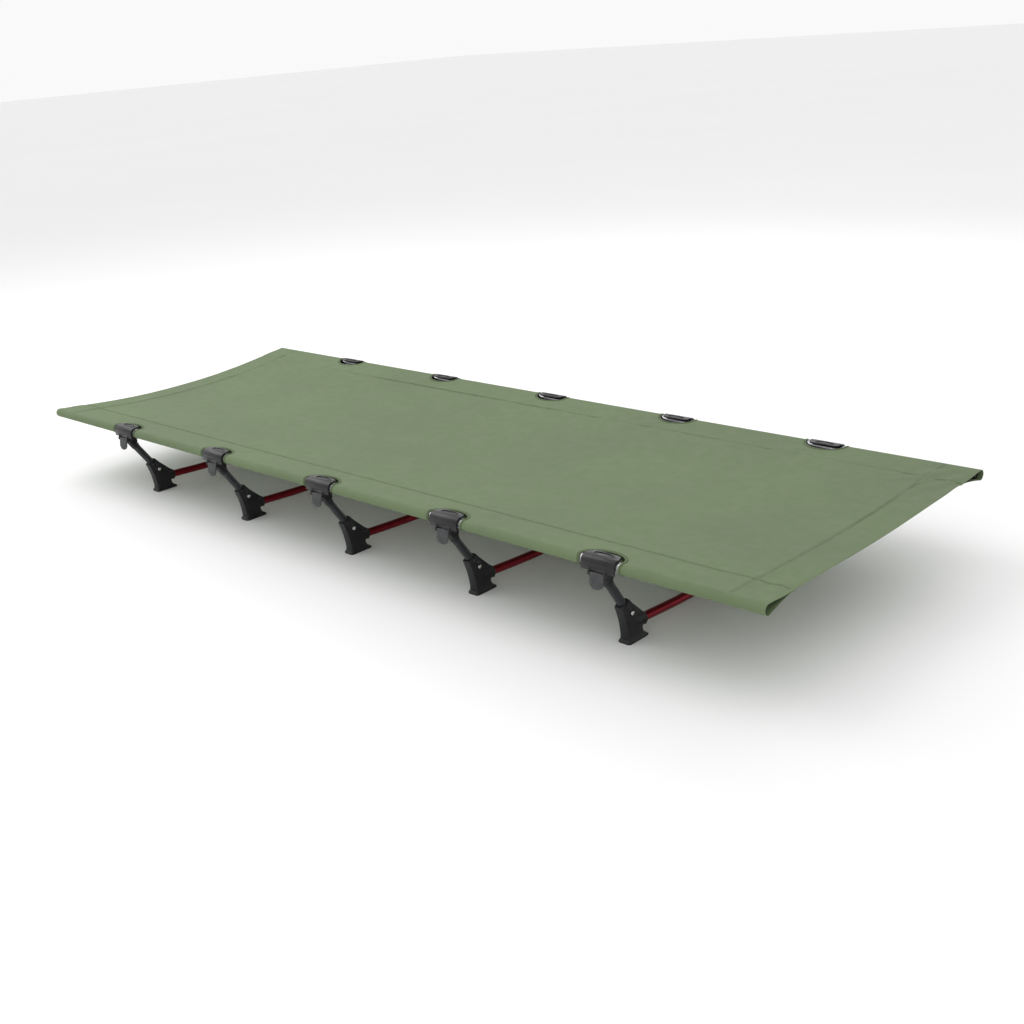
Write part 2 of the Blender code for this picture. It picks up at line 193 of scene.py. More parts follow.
def weave_group():
    """Crossing threads in metres of cloth: a height and a mask of the gaps between the threads."""
    tree, entry, leave = new_group(
        "plain_weave", [("Cloth", "NodeSocketVector", None), ("Threads", "NodeSocketFloat", 900.0)],
        [("Height", "NodeSocketFloat"), ("Gaps", "NodeSocketFloat")],
    )
    split = tree.nodes.new("ShaderNodeSeparateXYZ")
    tree.links.new(entry.outputs["Cloth"], split.inputs[0])
    waves = []
    for axis in (0, 1):
        turns = math_node(tree, "MULTIPLY", split.outputs[axis], entry.outputs["Threads"])
        waves.append(math_node(tree, "SINE", math_node(tree, "MULTIPLY", turns, math.tau)))
    over = math_node(tree, "MULTIPLY", waves[0], waves[1])
    height = math_node(tree, "ADD", math_node(tree, "MULTIPLY", over, 0.5), 0.5)
    tree.links.new(height, leave.inputs["Height"])
    gap = math_node(tree, "MULTIPLY", math_node(tree, "ABSOLUTE", waves[0]),
        math_node(tree, "ABSOLUTE", waves[1]))
    tree.links.new(math_node(tree, "SUBTRACT", 1.0, gap), leave.inputs["Gaps"])
    return tree


def grain_group():
    """Moulded or drawn surface grain: a fine height and a slow patchiness."""
    tree, entry, leave = new_group(
        "surface_grain",
        [("Place", "NodeSocketVector", None), ("Fineness", "NodeSocketFloat", 2200.0),
        ("Patches", "NodeSocketFloat", 30.0)],
        [("Height", "NodeSocketFloat"), ("Patch", "NodeSocketFloat")],
    )
    tree.links.new(noise_node(tree, entry.outputs["Place"], entry.outputs["Fineness"], 2.0),
        leave.inputs["Height"])
    patch = noise_node(tree, entry.outputs["Place"], entry.outputs["Patches"], 4.0)
    tree.links.new(spread(tree, patch, 0.35, 0.65), leave.inputs["Patch"])
    return tree


def edge_wear_and_highlight_group():
    """Rubbed outer edges with painted highlight: a mask where the surface turns sharply outwards, broken up
    by noise, that lightens edges partly as wear and partly as painted highlight.
    """
    tree, entry, leave = new_group(
        "edge_wear_and_highlight", [("Place", "NodeSocketVector", None), ("Amount", "NodeSocketFloat", 0.5)],
        [("Mask", "NodeSocketFloat")],
    )
    shape = tree.nodes.new("ShaderNodeNewGeometry")
    # Convex edges from pointiness: the lightening they get is partly rub wear, partly painted highlight
    edge = spread(tree, shape.outputs["Pointiness"], 0.53, 0.62)
    broken = spread(tree, noise_node(tree, entry.outputs["Place"], 260.0, 4.0), 0.42, 0.62)
    mask = math_node(tree, "MULTIPLY", math_node(tree, "MULTIPLY", edge, broken), entry.outputs["Amount"],
        True)
    tree.links.new(mask, leave.inputs["Mask"])
    return tree


def dust_group():
    """Fine dust: a mask that gathers on what faces up."""
    tree, entry, leave = new_group(
        "settled_dust", [("Place", "NodeSocketVector", None), ("Amount", "NodeSocketFloat", 0.2)],
        [("Mask", "NodeSocketFloat")],
    )
    shape = tree.nodes.new("ShaderNodeNewGeometry")
    split = tree.nodes.new("ShaderNodeSeparateXYZ")
    tree.links.new(shape.outputs["Normal"], split.inputs[0])
    up = spread(tree, split.outputs[2], 0.2, 1.0)
    cloud = spread(tree, noise_node(tree, entry.outputs["Place"], 45.0, 6.0, 0.65), 0.4, 0.75)
    mask = math_node(tree, "MULTIPLY", math_node(tree, "MULTIPLY", up, cloud), entry.outputs["Amount"], True)
    tree.links.new(mask, leave.inputs["Mask"])
    return tree


GROUPS = {}


def shared_group(name):
    makers = {"weave": weave_group, "grain": grain_group, "wear_and_highlight": edge_wear_and_highlight_group, "dust": dust_group}
    if name not in GROUPS:
        GROUPS[name] = makers[name]()
    return GROUPS[name]


class Finish:
    """A material with its Principled shader, filled step by step."""

    def __init__(self, name, roughness, metallic=0.0, cloth=False):
        self.material = bpy.data.materials.new(name)
        self.material.use_nodes = True
        self.tree = self.material.node_tree
        self.shader = self.tree.nodes["Principled BSDF"]
        self.shader.inputs["Roughness"].default_value = roughness
        self.shader.inputs["Metallic"].default_value = metallic
        source = self.tree.nodes.new("ShaderNodeTexCoord")
        self.place = source.outputs["Object"]
        self.cloth = source.outputs["UV"] if cloth else None

    def group(self, name, **values):
        node = self.tree.nodes.new("ShaderNodeGroup")
        node.node_tree = shared_group(name)
        for label, value in values.items():
            node.inputs[label].default_value = value
        key = "Cloth" if name == "weave" else "Place"
        self.tree.links.new(self.cloth if name == "weave" else self.place, node.inputs[key])
        return node.outputs

    def color(self, value):
        self.tree.links.new(value, self.shader.inputs["Base Color"])

    def roughness(self, fac, low, high):
        self.tree.links.new(spread(self.tree, fac, 0.0, 1.0, low, high), self.shader.inputs["Roughness"])

    def bump(self, *layers):
        normal = None
        for height, distance, strength in layers:
            node = self.tree.nodes.new("ShaderNodeBump")
            node.inputs["Distance"].default_value = distance
            node.inputs["Strength"].default_value = strength
            self.tree.links.new(height, node.inputs["Height"])
            if normal is not None:
                self.tree.links.new(normal, node.inputs["Normal"])
            normal = node.outputs["Normal"]
        self.tree.links.new(normal, self.shader.inputs["Normal"])


def shade(color, factor):
    return (*(min(1.0, part * factor) for part in color), 1.0)


def cloth_finish(name, color, threads):
    """Coated woven cloth: dull, with a faint sheen, slow fading and fine threads."""
    finish = Finish(name, 0.78, cloth=True)
    weave = finish.group("weave", Threads=threads)
    grain = finish.group("grain", Fineness=700.0, Patches=5.0)
    dust = finish.group("dust", Amount=0.10)
    faded = mix_colors(finish.tree, grain["Patch"], shade(color, 0.94), shade(color, 1.07))
    gaps = math_node(finish.tree, "MULTIPLY", weave["Gaps"], 0.30)
    woven = mix_colors(finish.tree, gaps, faded, shade(color, 0.55))
    finish.color(mix_colors(finish.tree, dust["Mask"], woven, (0.34, 0.34, 0.28, 1.0)))
    finish.roughness(grain["Patch"], 0.72, 0.84)
    finish.bump((weave["Height"], 0.0002, 0.35), (grain["Height"], 0.0002, 0.25))
    finish.shader.inputs["Sheen Weight"].default_value = 0.04
    finish.shader.inputs["Sheen Roughness"].default_value = 0.45
    finish.shader.inputs["Specular IOR Level"].default_value = 0.20
    return finish.material


def moulded_finish(name, color, low, high, grain_depth, coat=0.0, wear_and_highlight=0.35):
    """Moulded plastic with fine grain, slightly uneven gloss and lighter outer edges, partly rub wear and
    partly painted highlight.
    """
    finish = Finish(name, low)
    grain = finish.group("grain", Fineness=1500.0, Patches=60.0)
    # Mask of the outer edges, for rub wear and painted highlight
    edges = finish.group("wear_and_highlight", Amount=wear_and_highlight)
    dust = finish.group("dust", Amount=0.06)
    base = mix_colors(finish.tree, grain["Patch"], shade(color, 0.85), shade(color, 1.25))
    # Outer edges lightened towards grey: partly rub wear, partly painted highlight
    rubbed_and_highlit = mix_colors(finish.tree, edges["Mask"], base, (0.10, 0.10, 0.105, 1.0))
    finish.color(mix_colors(finish.tree, dust["Mask"], rubbed_and_highlit, (0.30, 0.29, 0.27, 1.0)))
    finish.roughness(grain["Patch"], low, high)
    finish.bump((grain["Height"], 0.00006, grain_depth))
    finish.shader.inputs["Specular IOR Level"].default_value = 0.25
    finish.shader.inputs["Coat Weight"].default_value = coat
    finish.shader.inputs["Coat Roughness"].default_value = 0.12
    return finish.material


def tube_finish(name, color, low, high, metallic, stretch):
    """Drawn tube: faint lines along its length, and a few scuffs. stretch scales the pattern along
    X, Y and Z."""
    finish = Finish(name, low, metallic)
    mapping = finish.tree.nodes.new("ShaderNodeMapping")
    mapping.inputs["Scale"].default_value = stretch
    finish.tree.links.new(finish.place, mapping.inputs["Vector"])
    lines = noise_node(finish.tree, mapping.outputs["Vector"], 900.0, 3.0)
    grain = finish.group("grain", Fineness=1800.0, Patches=25.0)
    scuffs = spread(finish.tree, noise_node(finish.tree, mapping.outputs["Vector"], 160.0, 6.0, 0.7), 0.66,
        0.78)
    base = mix_colors(finish.tree, grain["Patch"], shade(color, 0.86), shade(color, 1.16))
    lined = mix_colors(finish.tree, math_node(finish.tree, "MULTIPLY", lines, 0.35), base, shade(color, 0.7))
    finish.color(mix_colors(finish.tree, math_node(finish.tree, "MULTIPLY", scuffs, 0.3), lined,
        shade(color, 2.2)))
    finish.roughness(grain["Patch"], low, high)
    finish.bump((lines, 0.00004, 0.35))
    return finish.material


FINISHES = {}


def finish_for(name):
    """The finish of that name, made once from the finishes' colours."""
    colors = bpy.context.scene.cot_finishes
    makers = {
        "bed_cloth": lambda: cloth_finish("bed_cloth", colors.cloth_color, 800.0),
        "binding_tape": lambda: cloth_finish("binding_tape", colors.binding_color, 1400.0),
        "sewing_thread": lambda: moulded_finish("sewing_thread", colors.thread_color, 0.6, 0.75, 0.2,
        wear_and_highlight=0.0),
        "black_moulding": lambda: moulded_finish("black_moulding", colors.moulding_color, 0.34, 0.46, 0.25,
        coat=0.03),
        "clip_moulding": lambda: moulded_finish("clip_moulding", colors.moulding_color, 0.26, 0.38, 0.15,
        coat=0.10),
        "lever_moulding": lambda: moulded_finish("lever_moulding", colors.lever_color, 0.50, 0.64, 0.5),
        "arm_anodising": lambda: tube_finish("arm_anodising", colors.arm_color, 0.30, 0.42, 0.75,
        (1.0, 0.15, 0.15)),
        "pole_anodising": lambda: tube_finish("pole_anodising", colors.pole_color, 0.30, 0.42, 0.8,
        (1.0, 0.06, 1.0)),
        "rail_metal": lambda: tube_finish("rail_metal", colors.rail_color, 0.28, 0.40, 1.0,
        (0.04, 1.0, 1.0)),
        "rivet_steel": lambda: tube_finish("rivet_steel", colors.rivet_color, 0.22, 0.34, 1.0,
        (1.0, 1.0, 1.0)),
    }
    if name not in FINISHES:
        FINISHES[name] = makers[name]()
    return FINISHES[name]


# Shape helpers

def linked(name, data):
    obj = bpy.data.objects.new(name, data)
    bpy.context.scene.collection.objects.link(obj)
    return obj


def as_mesh(obj, weld=1e-6):
    """The object's evaluated mesh in world space, with the object removed."""
    bpy.context.view_layer.update()
    graph = bpy.context.evaluated_depsgraph_get()
    mesh = bpy.data.meshes.new_from_object(obj.evaluated_get(graph))
    mesh.transform(obj.matrix_world)
    bpy.data.objects.remove(obj)
    shape = bmesh.new()
    shape.from_mesh(mesh)
    bmesh.ops.remove_doubles(shape, verts=shape.verts, dist=weld)
    shape.to_mesh(mesh)
    shape.free()
    return mesh


def flat_solid(points, half_depth, matrix, rounding=0.0):
    """A solid with this flat outline, its edges rounded, placed by a matrix from the curve's own plane."""
    curve = bpy.data.curves.new("outline", "CURVE")
    curve.dimensions = "2D"
    curve.fill_mode = "BOTH"
    curve.extrude = half_depth - rounding
    curve.bevel_depth = rounding
    curve.bevel_resolution = 2 if rounding else 0
    curve.offset = -rounding
    spline = curve.splines.new("POLY")
    spline.points.add(len(points) - 1)
    for point, (across, up) in zip(spline.points, points):
        point.co = (across, up, 0, 1)
    spline.use_cyclic_u = True
    obj = linked("outline", curve)
    obj.matrix_world = matrix
    return as_mesh(obj)


def side_solid(points, half_width, centre_x=0.0, rounding=0.0):
    """A solid with this outline in the YZ plane."""
    matrix = Matrix(((0, 0, 1, centre_x), (1, 0, 0, 0), (0, 1, 0, 0), (0, 0, 0, 1)))
    return flat_solid(points, half_width, matrix, rounding)


def rod(start, end, radius, sides=40, end_radius=None):
    start, end = Vector(start), Vector(end)
    axis = end - start
    shape = bmesh.new()
    place = Matrix.Translation((start + end) / 2) @ axis.to_track_quat("Z", "Y").to_matrix().to_4x4()
    bmesh.ops.create_cone(
        shape, cap_ends=True, segments=sides, radius1=radius,
        radius2=radius if end_radius is None else end_radius, depth=axis.length, matrix=place,
    )
    mesh = bpy.data.meshes.new("rod")
    shape.to_mesh(mesh)
    shape.free()
    return mesh


def swept_tube(points, radius, sides, bore=0.0):
    """A smooth tube along a line of points, closed at its ends, or hollow where bore is given."""
    shape = bmesh.new()
    count = len(points)
    rings = []
    for i, point in enumerate(points):
        along = (Vector(points[min(i + 1, count - 1)]) - Vector(points[max(i - 1, 0)])).normalized()
        side = Vector((0, 0, 1)).cross(along)
        side = Vector((1, 0, 0)) if side.length < 1e-4 else side.normalized()
        up = along.cross(side)
        pair = []
        for reach in (radius, bore):
            ring = []
            for k in range(sides):
                angle = math.tau * k / sides
                ring.append(shape.verts.new(Vector(point) + (side * math.cos(angle) + up * math.sin(angle))
                    * reach))
                if not bore and reach == bore:
                    break
            pair.append(ring)
        rings.append(pair)
    for i in range(count - 1):
        for k in range(sides):
            n = (k + 1) % sides
            a, b = rings[i][0], rings[i + 1][0]
            shape.faces.new((a[k], a[n], b[n], b[k]))
            if bore:
                a, b = rings[i][1], rings[i + 1][1]
                shape.faces.new((a[n], a[k], b[k], b[n]))
    for end, flip in ((0, True), (count - 1, False)):
        outer, inner = rings[end]
        for k in range(sides):
            n = (k + 1) % sides
            corners = (outer[k], outer[n], inner[n], inner[k]) if bore else (outer[k], outer[n], inner[0])
            shape.faces.new(corners[::-1] if flip else corners)
    if not bore:
        loose = [v for v in shape.verts if not v.link_faces]
        bmesh.ops.delete(shape, geom=loose, context="VERTS")
    bmesh.ops.recalc_face_normals(shape, faces=shape.faces)
    mesh = bpy.data.meshes.new("tube")
    shape.to_mesh(mesh)
    shape.free()
    return mesh


def combined(first, others, operation):
    target = linked("target", first)
    tools = [linked("tool", mesh) for mesh in others]
    for tool in tools:
        modifier = target.modifiers.new(operation, "BOOLEAN")
        modifier.operation = operation
        modifier.object = tool
    mesh = as_mesh(target)
    for tool in tools:
        bpy.data.objects.remove(tool)
    return mesh


def edge_rounded(mesh, width, segments=2, angle=38.0):
    obj = linked("rounded", mesh)
    modifier = obj.modifiers.new("edges", "BEVEL")
    modifier.width = width
    modifier.segments = segments
    modifier.limit_method = "ANGLE"
    modifier.angle_limit = math.radians(angle)
    modifier.miter_outer = "MITER_ARC"
    return as_mesh(obj)


def smooth_line(points, steps=5):
    """A smooth open line through the points."""
    out = []
    last = len(points) - 1
    for i in range(last):
        p = [Vector(points[max(0, min(last, i + k))]) for k in (-1, 0, 1, 2)]
        for s in range(steps):
            t = s / steps
            out.append(tuple(
                0.5 * (2 * p[1][c] + (p[2][c] - p[0][c]) * t
                       + (2 * p[0][c] - 5 * p[1][c] + 4 * p[2][c] - p[3][c]) * t * t
                       + (3 * p[1][c] - p[0][c] - 3 * p[2][c] + p[3][c]) * t ** 3)
                for c in (0, 1)
            ))
    out.append(tuple(points[last]))
    return out


def arc(centre, radius, start, end, steps):
    """Points on an arc in the YZ plane; 0 degrees is outwards, away from the bed, and 90 is up."""
    points = []
    for i in range(steps + 1):
        angle = math.radians(start + (end - start) * i / steps)
        points.append((centre[0] - radius * math.cos(angle), centre[1] + radius * math.sin(angle)))
    return points


def finished(name, mesh, finish, body, nodes, smooth_angle=35.0):
    """A finished piece at the origin, riding on its body and standing for its nodes."""
    if mesh.shape_keys is None and not mesh.materials:
        mesh.materials.append(finish_for(finish))
    mesh.shade_smooth()
    mesh.set_sharp_from_angle(angle=math.radians(smooth_angle))
    mesh.name = name
    obj = linked(name, mesh)
    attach(obj, body)
    if nodes:
        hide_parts(*nodes)
    return obj


def leg_copies(mesh, name, finish, body_of, node):
    """Ten copies of a piece that is modelled on the near side at x 0: one for each end of each leg."""
    for number, x in enumerate(LEG_X, 1):
        for side, far in SIDES:
            turn = Matrix.Rotation(math.pi if far else 0.0, 4, "Z")
            copy = mesh.copy()
            copy.transform(Matrix.Translation((x, 0, 0)) @ turn)
            finished(f"{side}_{name}_{number}", copy, finish, body_of(side, number),
                [f"{side}_{node}_{number}"])


def leg_body(side, number):
    return f"leg_{number}"


def clip_body(side, number):
    return "bed" if side == "near" else f"leg_{number}"


def lever_body(side, number):
    return f"{side}_lever_body_{number}"


# The bed

def smoothstep(low, high, value):
    t = max(0.0, min(1.0, (value - low) / (high - low)))
    return t * t * (3 - 2 * t)


def bed_sag(x):
    sizes = bpy.context.scene.cot_bed
    share = (x / BED_HALF_LENGTH + 1) / 2
    return sizes.sag_head + (sizes.sag_foot - sizes.sag_head) * share


def sleeve_radius():
    """From the rail's axis to the middle of the cloth's thickness."""
    sizes = bpy.context.scene.cot_bed
    return bpy.context.scene.cot_frame.rail_radius + 0.0003 + sizes.cloth / 2


def bed_relief(x, y):
    """Small height changes: hems, seams, corner folds and slow ripples."""
    sizes = bpy.context.scene.cot_bed
    half_span = -RAIL_Y
    from_rail = half_span - abs(y)
    from_end = BED_HALF_LENGTH - abs(x)
    free = smoothstep(0.004, 0.05, from_rail)
    height = sizes.ripple * free * noise.noise(Vector((x * 3.1, y * 5.3, 1.7)))
    height += 0.35 * sizes.ripple * free * noise.noise(Vector((x * 11.0, y * 15.0, 7.1)))
    hem_line = from_end - sizes.hem
    height -= 0.0009 * free * math.exp(-(hem_line / 0.0022) ** 2)
    height += 0.0005 * free * smoothstep(0.001, -0.003, hem_line)
    seam_line = from_rail - sizes.sleeve
    height -= 0.0008 * math.exp(-(seam_line / 0.0022) ** 2)
    pucker = 0.5 + 0.5 * noise.noise(Vector((x * 60.0, y * 9.0, 3.3)))
    height += 0.0006 * free * (pucker - 0.5) * math.exp(-(seam_line / 0.014) ** 2)
    height += 0.0006 * free * (0.5 - noise.noise(Vector((x * 9.0, y * 60.0, 5.9)))) * math.exp(
        -(hem_line / 0.014) ** 2)
    reach = math.hypot(from_end - 0.012, from_rail - 0.03)
    turn = math.atan2(from_rail + 0.01, from_end + 0.01)
    amount = sizes.wrinkle if x > 0 else 0.5 * sizes.wrinkle
    folds = math.sin(turn * 13.0 + 5.0 * noise.noise(Vector((x * 14.0, y * 14.0, 9.0))))
    height += amount * free * folds * math.exp(-(reach / 0.085) ** 2)
    for leg in LEG_X:
        away = math.hypot((x - leg) / 1.3, from_rail - 0.01)
        turn = math.atan2(from_rail, x - leg)
        height += 0.0007 * free * math.sin(turn * 9.0) * math.exp(-(away / 0.085) ** 2) * smoothstep(0.02,
            0.04, away)
    return height


def bed_top(x, y):
    """The middle of the cloth in the sheet between the rails."""
    radius = sleeve_radius()
    sag = bed_sag(x)
    slope = math.atan(2 * sag / -RAIL_Y)
    edge_y = -RAIL_Y - radius * math.sin(slope)
    edge_z = RAIL_Z + radius * math.cos(slope)
    share = min(1.0, abs(y) / edge_y)
    return edge_z - sag * (1 - share * share) + bed_relief(x, y)


def flap_height(x, y):
    """The middle of the cloth of a sleeve's lower side, from the rail's underside to the seam."""
    sizes = bpy.context.scene.cot_bed
    share = (-RAIL_Y - abs(y)) / sizes.sleeve
    low = RAIL_Z - sleeve_radius()
    high = bed_top(x, -RAIL_Y - sizes.sleeve) - 1.15 * sizes.cloth
    limit = bed_top(x, y) - 1.15 * sizes.cloth
    return min(low + (high - low) * share + 0.0012 * math.sin(math.pi * min(1.0, share)), limit)


def end_pull(x, y):
    """The bed's ends draw in a little between the rails."""
    share = min(1.0, abs(y / RAIL_Y))
    return x - math.copysign(0.006, x) * (1 - share * share) * smoothstep(0.80, 0.95, abs(x))


def bed_section(x):
    """Near half of the bed's section at x, from the sleeve's lower hem round the rail to the bed's
    middle."""
    sizes = bpy.context.scene.cot_bed
    radius = sleeve_radius()
    slope = math.degrees(math.atan(2 * bed_sag(x) / -RAIL_Y))
    lower = [sizes.sleeve * share for share in (1.08, 1.03, 1.0, 0.96, 0.9, 0.75, 0.6, 0.45, 0.3, 0.15)]
    points = [(RAIL_Y + reach, flap_height(x, RAIL_Y + reach)) for reach in lower]
    points += arc((RAIL_Y, RAIL_Z), radius, -90, 90 + slope, 18)
    start = RAIL_Y + radius * math.sin(math.radians(slope))
    seam = RAIL_Y + sizes.sleeve
    across = [start + (seam - 0.012 - start) * i / 8 for i in range(1, 9)]
    across += [seam + step * 0.0015 for step in range(-6, 7)]
    across += [(seam + 0.012) * (1 - i / 16) for i in range(17)]
    points += [(y, bed_top(x, y)) for y in across]
    return points


def bed_columns():
    """Places along the bed, closer together at the hems."""
    sizes = bpy.context.scene.cot_bed
    line = BED_HALF_LENGTH - sizes.hem
    places = [BED_HALF_LENGTH - 0.055 * i / 7 for i in range(8)]
    places += [line + step * 0.0015 for step in range(6, -7, -1)]
    places += [(line - 0.012) * (1 - i / 78) for i in range(78)]
    return sorted([-x for x in places] + [0.0] + places)


def cloth_width(x=0.0):
    section = bed_section(x)
    return 2 * sum(math.dist(a, b) for a, b in zip(section, section[1:]))


def bed_mesh():
    """The sheet with both sleeves in one piece of cloth, with its cut-outs."""
    sizes = bpy.context.scene.cot_bed
    shape = bmesh.new()
    uv = shape.loops.layers.uv.new("UVMap")
    rows = []
    for x in bed_columns():
        half = bed_section(x)
        whole = half + [(-y, z) for y, z in reversed(half[:-1])]
        row, travelled = [], 0.0
        for i, (y, z) in enumerate(whole):
            if i:
                travelled += math.dist(whole[i], whole[i - 1])
            row.append((shape.verts.new((end_pull(x, y), y, z)), (x, travelled)))
        rows.append(row)
    for left, right in zip(rows, rows[1:]):
        for i in range(len(left) - 1):
            corners = (left[i], right[i], right[i + 1], left[i + 1])
            face = shape.faces.new([corner[0] for corner in corners])
            for loop, corner in zip(face.loops, corners):
                loop[uv].uv = corner[1]
    mesh = bpy.data.meshes.new("bed_cloth")
    shape.to_mesh(mesh)
    shape.free()
    sheet = linked("sheet", mesh)
    wall = sheet.modifiers.new("cloth", "SOLIDIFY")
    wall.thickness = sizes.cloth
    wall.offset = 0.0
    mesh = as_mesh(sheet)
    cutters = bmesh.new()
    for x in LEG_X:
        for side in (-1, 1):
            place = Matrix.Translation((x, side * RAIL_Y, RAIL_Z)) @ Matrix.Diagonal(
                (sizes.cutout_half_length, sizes.cutout_depth, 1, 1)
            )
            bmesh.ops.create_cone(
                cutters, cap_ends=True, segments=57, radius1=1, radius2=1, depth=0.09, matrix=place
            )
    cutter = bpy.data.meshes.new("cutters")
    cutters.to_mesh(cutter)
    cutters.free()
    return combined(mesh, [cutter], "DIFFERENCE")


def cutout_loop(leg_x, far, outward=0.0):
    """Points and surface normals round a cut-out's edge, moved outward from the opening."""
    sizes = bpy.context.scene.cot_bed
    long, deep = sizes.cutout_half_length + outward, sizes.cutout_depth + outward
    radius = sleeve_radius()
    points = []
    steps = 26
    for i in range(steps + 1):
        t = math.pi * i / steps
        y = RAIL_Y + deep * math.sin(t)
        x = leg_x + long * math.cos(t)
        points.append((Vector((x, y, bed_top(x, y))), Vector((0, 0, 1))))
    for i in range(1, 12):
        angle = math.pi * (0.5 - i / 12)
        x = leg_x - long * math.sqrt(1 - (radius * math.cos(angle) / deep) ** 2)
        normal = Vector((0, -math.cos(angle), math.sin(angle)))
        points.append((Vector((x, RAIL_Y, RAIL_Z)) + normal * radius, normal))
    for i in range(steps + 1):
        t = math.pi * (1 - i / steps)
        y = RAIL_Y + deep * math.sin(t)
        x = leg_x + long * math.cos(t)
        points.append((Vector((x, y, flap_height(x, y))), Vector((0, 0, -1))))
    for i in range(1, 12):
        angle = math.pi * (i / 12 - 0.5)
        x = leg_x + long * math.sqrt(1 - (radius * math.cos(angle) / deep) ** 2)
        normal = Vector((0, -math.cos(angle), math.sin(angle)))
        points.append((Vector((x, RAIL_Y, RAIL_Z)) + normal * radius, normal))
    if far:
        points = [(Vector((p.x, -p.y, p.z)), Vector((n.x, -n.y, n.z))) for p, n in points]
    return points


def tape_mesh(loops, width, thickness, sides=10):
    """A folded tape along closed loops, flat against the cloth."""
    shape = bmesh.new()
    uv = shape.loops.layers.uv.new("UVMap")
    for loop in loops:
        count = len(loop)
        rings, travelled = [], 0.0
        for i, (point, normal) in enumerate(loop):
            along = (loop[(i + 1) % count][0] - loop[i - 1][0]).normalized()
            side = normal.cross(along).normalized()
            lift = along.cross(side).normalized()
            ring = []
            for k in range(sides):
                angle = math.tau * k / sides
                across, up = math.cos(angle), math.sin(angle)
                flat = math.copysign(abs(across) ** 0.7, across) * width / 2
                tall = math.copysign(abs(up) ** 0.7, up) * thickness / 2
                ring.append(shape.verts.new(point + side * flat + lift * tall))
            if i:
                travelled += (point - loop[i - 1][0]).length
            rings.append((ring, travelled))
        for i in range(count):
            (a, start), (b, end) = rings[i], rings[(i + 1) % count]
            end = end if end > start else start + 0.003
            for k in range(sides):
                n = (k + 1) % sides
                face = shape.faces.new((a[k], a[n], b[n], b[k]))
                for corner, place in zip(face.loops, ((start, k), (start, k + 1), (end, k + 1), (end, k))):
                    corner[uv].uv = (place[0], place[1] * width / sides * 2)
    bmesh.ops.recalc_face_normals(shape, faces=shape.faces)
    mesh = bpy.data.meshes.new("tape")
    shape.to_mesh(mesh)
    shape.free()
    return mesh


def stitch_tree():
    """Stitches set along lines: each line is divided by the pitch, and a short rounded thread lies
    at each place."""
    tree = bpy.data.node_groups.new("stitch_line", "GeometryNodeTree")
    sockets = {}
    tree.interface.new_socket(name="Geometry", in_out="INPUT", socket_type="NodeSocketGeometry")
    for label in ("Pitch", "Length", "Thread"):
        sockets[label] = tree.interface.new_socket(name=label, in_out="INPUT", socket_type="NodeSocketFloat")
    sockets["Finish"] = tree.interface.new_socket(name="Finish", in_out="INPUT",
        socket_type="NodeSocketMaterial")
    tree.interface.new_socket(name="Geometry", in_out="OUTPUT", socket_type="NodeSocketGeometry")
    entry = tree.nodes.new("NodeGroupInput")
    leave = tree.nodes.new("NodeGroupOutput")
    points = tree.nodes.new("GeometryNodeCurveToPoints")
    points.mode = "LENGTH"
    thread = tree.nodes.new("GeometryNodeMeshCylinder")
    thread.inputs["Vertices"].default_value = 6
    thread.inputs["Side Segments"].default_value = 1
    thread.inputs["Depth"].default_value = 1.0
    thread.inputs["Radius"].default_value = 1.0
    ends = tree.nodes.new("ShaderNodeCombineXYZ")
    place = tree.nodes.new("GeometryNodeInstanceOnPoints")
    real = tree.nodes.new("GeometryNodeRealizeInstances")
    finish = tree.nodes.new("GeometryNodeSetMaterial")
    link = tree.links.new
    link(entry.outputs["Geometry"], points.inputs["Curve"])
    link(entry.outputs["Pitch"], points.inputs["Length"])
    link(entry.outputs["Thread"], ends.inputs[0])
    link(entry.outputs["Thread"], ends.inputs[1])
    link(entry.outputs["Length"], ends.inputs[2])
    link(points.outputs["Points"], place.inputs["Points"])
    link(points.outputs["Rotation"], place.inputs["Rotation"])
    link(thread.outputs["Mesh"], place.inputs["Instance"])
    link(ends.outputs[0], place.inputs["Scale"])
    link(place.outputs["Instances"], real.inputs["Geometry"])
    link(real.outputs["Geometry"], finish.inputs["Geometry"])
    link(entry.outputs["Finish"], finish.inputs["Material"])
    link(finish.outputs["Geometry"], leave.inputs["Geometry"])
    return tree, {label: socket.identifier for label, socket in sockets.items()}


def stitch_mesh(lines):
    """The stitches along open or closed lines of points."""
    sizes = bpy.context.scene.cot_bed
    curve = bpy.data.curves.new("stitch_lines", "CURVE")
    curve.dimensions = "3D"
    for points, closed in lines:
        spline = curve.splines.new("POLY")
        spline.points.add(len(points) - 1)
        for target, point in zip(spline.points, points):
            target.co = (*point, 1)
        spline.use_cyclic_u = closed
    obj = linked("stitch_lines", curve)
    tree, names = stitch_tree()
    modifier = obj.modifiers.new("stitches", "NODES")
    modifier.node_group = tree
    modifier[names["Pitch"]] = sizes.stitch_pitch
    modifier[names["Length"]] = sizes.stitch_length
    modifier[names["Thread"]] = sizes.thread
    modifier[names["Finish"]] = finish_for("sewing_thread")
    bpy.context.view_layer.update()
    graph = bpy.context.evaluated_depsgraph_get()
    mesh = bpy.data.meshes.new_from_object(obj.evaluated_get(graph))
    bpy.data.objects.remove(obj)
    return mesh


